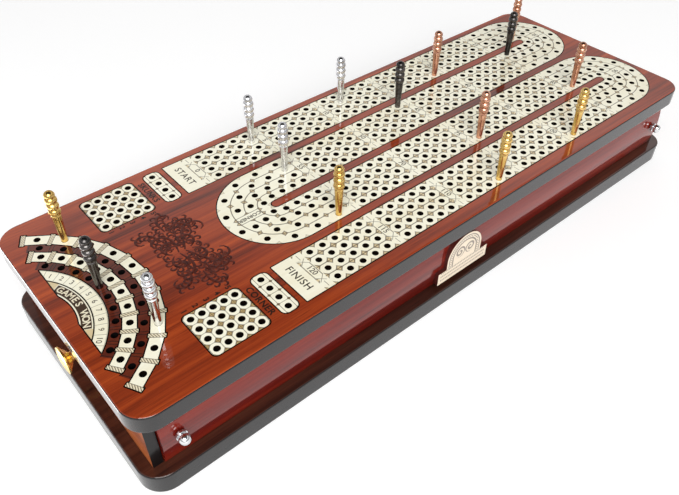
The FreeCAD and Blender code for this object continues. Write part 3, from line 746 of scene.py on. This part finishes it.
# x, y from the pattern's middle line, heading, length, bend at the start and at the end
stems = [
    (-122.0, 0.4, 80.0, 27.0, -2.0, 24.0), (-119.0, 0.4, 50.0, 30.0, 5.0, -20.0),
    (-118.0, 10.0, 70.0, 22.0, 2.0, -26.0), (-124.0, 10.0, 110.0, 22.0, -3.0, 27.0),
    (-116.0, 0.6, 15.0, 20.0, 8.0, 24.0), (-125.0, 0.6, 150.0, 17.0, -8.0, -24.0),
    (-120.0, 16.0, 85.0, 19.0, 5.0, -30.0), (-111.0, 8.0, 60.0, 22.0, 4.0, 22.0),
]
parts = []
for stem in stems:
    path = trace(*stem)
    for side in (1.0, -1.0):
        parts.append(draw(path, stem_width, side))
        for count in (2, 4, 6, 8, 10):
            x, y, heading = path[count]
            for hand in (1.0, -1.0):
                curl = trace(x, y, heading + 30.0 * hand, 7.6 - 0.3 * count, 14.0 * hand,
                             80.0 * hand)
                parts.append(draw(curl, curl_width, side))
burnt_red = ink("burnt_scroll", (0.032, 0.005, 0.003), (0.120, 0.018, 0.007), 500.0, 4.0,
                (0.35, 0.65), Roughness=0.5, Specular_IOR_Level=0.05, Coat_Weight=0.5,
                Coat_Roughness=0.12)
gather("burnt_scrollwork", parts, burnt_red)

# %% [markdown]
# ## Metal
# The pegs are turned on a lathe and polished, so a faint ring pattern runs round them: its height
# depends only on z. Gold, silver, black and copper tell the players apart.

# %% Pegs and knobs


def turned_metal(name, dull, bright, rough, axis="z", metallic=1.0):
    """Polished turned metal with faint tool rings along its axis."""
    f = Finish(name)
    along = getattr(f, axis)
    cloud = f.noise((160.0, 160.0, 160.0), 3.0)
    rings = (along * 5.0 + cloud * 0.6).maths("SINE")
    colour = f.ramp(cloud, [(0.35, dull), (0.6, bright)])
    fine = f.noise((1500.0, 1500.0, 1500.0), 2.0)
    return f.finish(Base_Color=colour, Metallic=metallic, Roughness=fine * 0.12 + rough,
                    Normal=f.dent(rings, 0.000012, 0.35))


peg_finishes = {
    "gold": turned_metal("gold_peg", (0.60, 0.36, 0.09), (0.86, 0.60, 0.22), 0.12),
    "silver": turned_metal("silver_peg", (0.62, 0.62, 0.64), (0.86, 0.86, 0.88), 0.10),
    "black": turned_metal("black_peg", (0.035, 0.033, 0.032), (0.13, 0.12, 0.115), 0.16),
    "copper": turned_metal("copper_peg", (0.52, 0.24, 0.15), (0.80, 0.44, 0.31), 0.12),
}
for name in nodes:
    if name.startswith("peg_") and name.split("_")[1] in peg_finishes:
        dress(name, peg_finishes[name.split("_")[1]])
steel = turned_metal("polished_steel", (0.55, 0.56, 0.58), (0.84, 0.85, 0.86), 0.08, "y")
brass = turned_metal("turned_brass", (0.72, 0.48, 0.12), (0.95, 0.72, 0.25), 0.18, "x")
dress("drawer_knob_left", steel)
dress("drawer_knob_right", steel)
dress("peg_drawer_knob", brass)
dress("base_screws", turned_metal("screw_steel", (0.35, 0.34, 0.33), (0.6, 0.59, 0.58), 0.3))
print("pegs, knobs and screws turned")

# %% [markdown]
# ## Nameplate
# The small arched plate on the drawer is the same maple in a warmer tone. It carries a plain
# border, a ring of beads, two ruled rows and a pair of scrolls.

# %% Nameplate
plate = Finish("maple_nameplate")
low, high = box_mm("nameplate")
colour, tone = maple_ground(plate)
front_plane = plate.y.below(low[1] + 0.1)
across = (plate.x - (low[0] + high[0]) / 2).size()
bar_height, arch_radius = 7.4, 12.0
border_radius, inner_radius = 10.6, 8.3
bead_radius = (border_radius + inner_radius) / 2
bar_top = low[2] + bar_height
shoulder = high[2] - arch_radius
rise = (plate.z - shoulder).most(0.0)
reach = (across * across + rise * rise).root()
arch = plate.z.above(bar_top + 0.3)
colour = plate.mix(0.55, colour, (0.62, 0.42, 0.27))
border = (reach - border_radius).size().soft_below(0.3, 0.2)
border = border.most((reach - inner_radius).size().soft_below(0.4, 0.2)) * arch
rows = (plate.z - low[2]).to_line(2.4).soft_below(0.6, 0.3) * plate.x.to_line(1.1).above(0.2)
rows = rows * (1.0 - arch) * across.below(16.0) * (plate.z - low[2]).above(0.8)
dots = (reach - bead_radius).size().below(0.45) * (plate.z * 0.9 + plate.x).to_line(1.3).above(0.3)
dots = dots * arch * reach.above(8.6) * reach.below(10.4)
coil_pitch, coil_radius = 2.2, 3.5
side, lift = across - 3.6, plate.z - (shoulder + 2.2)
curl = (side * side + lift * lift).root()
coil = (curl - lift.angle_from(side) * (coil_pitch / (2 * math.pi))).to_line(coil_pitch)
scroll = coil.soft_below(0.6, 0.25) * curl.below(coil_radius) * curl.above(0.4)
colour = plate.mix(border.most(rows * 0.8).most(dots * 0.8).most(scroll * 0.9) * 0.85, colour, PRINT)
# off its front face the plate is painted dark red: painted shade on its sides
colour = plate.mix(front_plane, (0.055, 0.006, 0.004), colour)
dress("nameplate", plate.finish(Base_Color=colour, Roughness=0.4, Coat_Weight=1.0,
                                Coat_Roughness=0.06, Normal=plate.dent(tone, 0.00002, 0.3)))
print("nameplate printed")

# %% [markdown]
# ## Light
# The surround is brightest in a band from about 31 to 38 degrees up. The band lays a soft sheen on
# the far half of the lacquer. Above 48 degrees the sky is nearly dark, which leaves the near half
# deep in colour. A large key from behind the camera adds modelling.

# %% Floor, surround and lamps
bpy.ops.mesh.primitive_plane_add(size=8.0, location=(0.0, 0.0, 0.0))
floor = bpy.context.object
floor.name = "studio_floor"
floor_finish = Finish("studio_floor")
cloud = floor_finish.noise((2.0, 2.0, 2.0), 2.0)
floor.data.materials.append(floor_finish.finish(
    Base_Color=floor_finish.ramp(cloud, [(0.3, (0.90, 0.90, 0.90)), (0.7, (0.93, 0.93, 0.93))]),
    Roughness=0.9, Emission_Color=(1.0, 1.0, 1.0), Emission_Strength=0.20))

world = bpy.data.worlds.new("studio_world")
bpy.context.scene.world = world
world.use_nodes = True
sky = world.node_tree
aim = sky.nodes.new("ShaderNodeTexCoord")
split = sky.nodes.new("ShaderNodeSeparateXYZ")
sky.links.new(aim.outputs["Generated"], split.inputs[0])
fade = sky.nodes.new("ShaderNodeValToRGB")
# the height of a direction, which is the sine of its angle up, and its brightness
sky_stops = [(0.40, 0.45), (0.52, 1.0), (0.61, 1.0), (0.74, 0.06)]
while len(fade.color_ramp.elements) < len(sky_stops):
    fade.color_ramp.elements.new(0.5)
for element, (height, bright) in zip(fade.color_ramp.elements, sky_stops):
    element.position = height
    element.color = (bright, bright, bright, 1.0)
sky.links.new(split.outputs[2], fade.inputs["Fac"])
sky.links.new(fade.outputs["Color"], sky.nodes["Background"].inputs["Color"])
sky.nodes["Background"].inputs["Strength"].default_value = 1.05


def lamp(name, place, aim, width, depth, power):
    """A soft rectangular lamp; sizes in metres."""
    data = bpy.data.lights.new(name, "AREA")
    data.shape = "RECTANGLE"
    data.size = width
    data.size_y = depth
    data.energy = power
    item = bpy.data.objects.new(name, data)
    bpy.context.scene.collection.objects.link(item)
    item.location = place
    item.rotation_mode = "QUATERNION"
    item.rotation_quaternion = (Vector(aim) - Vector(place)).to_track_quat("-Z", "Y")
    item.visible_camera = False
    return item


lamp("key", (-0.9, -1.2, 1.5), (0.0, 0.0, 0.03), 1.5, 1.5, 43.0)
glow = lamp("edge_glow", (-0.225, 0.09, 0.002), (-0.225, 0.09, 1.0), 0.036, 0.22, 0.3)
glow.visible_diffuse = False
bpy.context.scene.view_settings.view_transform = "Standard"
print("lit")
